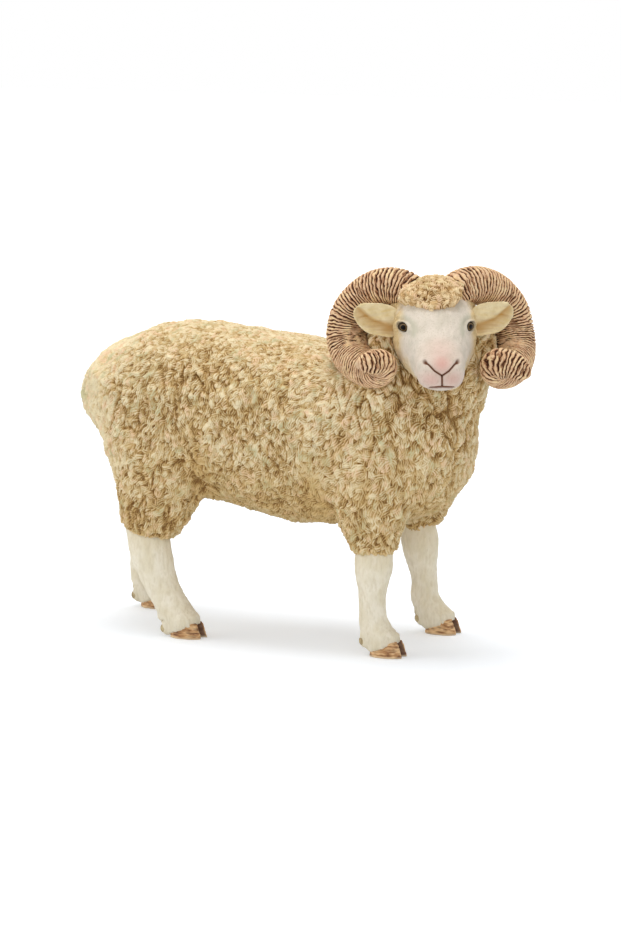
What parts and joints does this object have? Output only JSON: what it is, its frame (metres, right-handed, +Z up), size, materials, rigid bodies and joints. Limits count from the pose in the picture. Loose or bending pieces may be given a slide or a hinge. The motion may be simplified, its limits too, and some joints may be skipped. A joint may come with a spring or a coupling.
{
  "type": "toy farm animal figure",
  "caption": "Standing ram with a full fleece, curled ridged horns and its head turned aside, a rigid figure that stands on flat cloven hooves.",
  "frame": {"origin": "middle of the figure's footprint at the floor", "axes": "+X the way the body faces, +Y to its left, +Z up"},
  "size_m": [0.1014, 0.0458, 0.0771],
  "materials": {
    "fleece": "painted cream with an ochre wash, matte",
    "skin": "painted off-white, satin",
    "ear": "painted cream, satin",
    "horn": "painted tan with dark brown grooves, satin",
    "hoof": "painted tan brown, satin",
    "eye": "painted dark, glossy"
  },
  "bodies": {
    "root": {"torso": "fleece", "tail": "fleece", "crown_wool": "fleece", "head": "skin", "front_left_leg": "skin", "front_left_hoof_outer": "hoof", "front_left_dewclaw_outer": "hoof", "front_left_hoof_inner": "hoof", "front_left_dewclaw_inner": "hoof", "front_right_leg": "skin", "front_right_hoof_outer": "hoof", "front_right_dewclaw_outer": "hoof", "front_right_hoof_inner": "hoof", "front_right_dewclaw_inner": "hoof", "rear_left_leg": "skin", "rear_left_hoof_outer": "hoof", "rear_left_dewclaw_outer": "hoof", "rear_left_hoof_inner": "hoof", "rear_left_dewclaw_inner": "hoof", "rear_right_leg": "skin", "rear_right_hoof_outer": "hoof", "rear_right_dewclaw_outer": "hoof", "rear_right_hoof_inner": "hoof", "rear_right_dewclaw_inner": "hoof", "horn_left": "horn", "ear_left": "ear", "eye_left": "eye", "horn_right": "horn", "ear_right": "ear", "eye_right": "eye"}
  },
  "joints": []
}
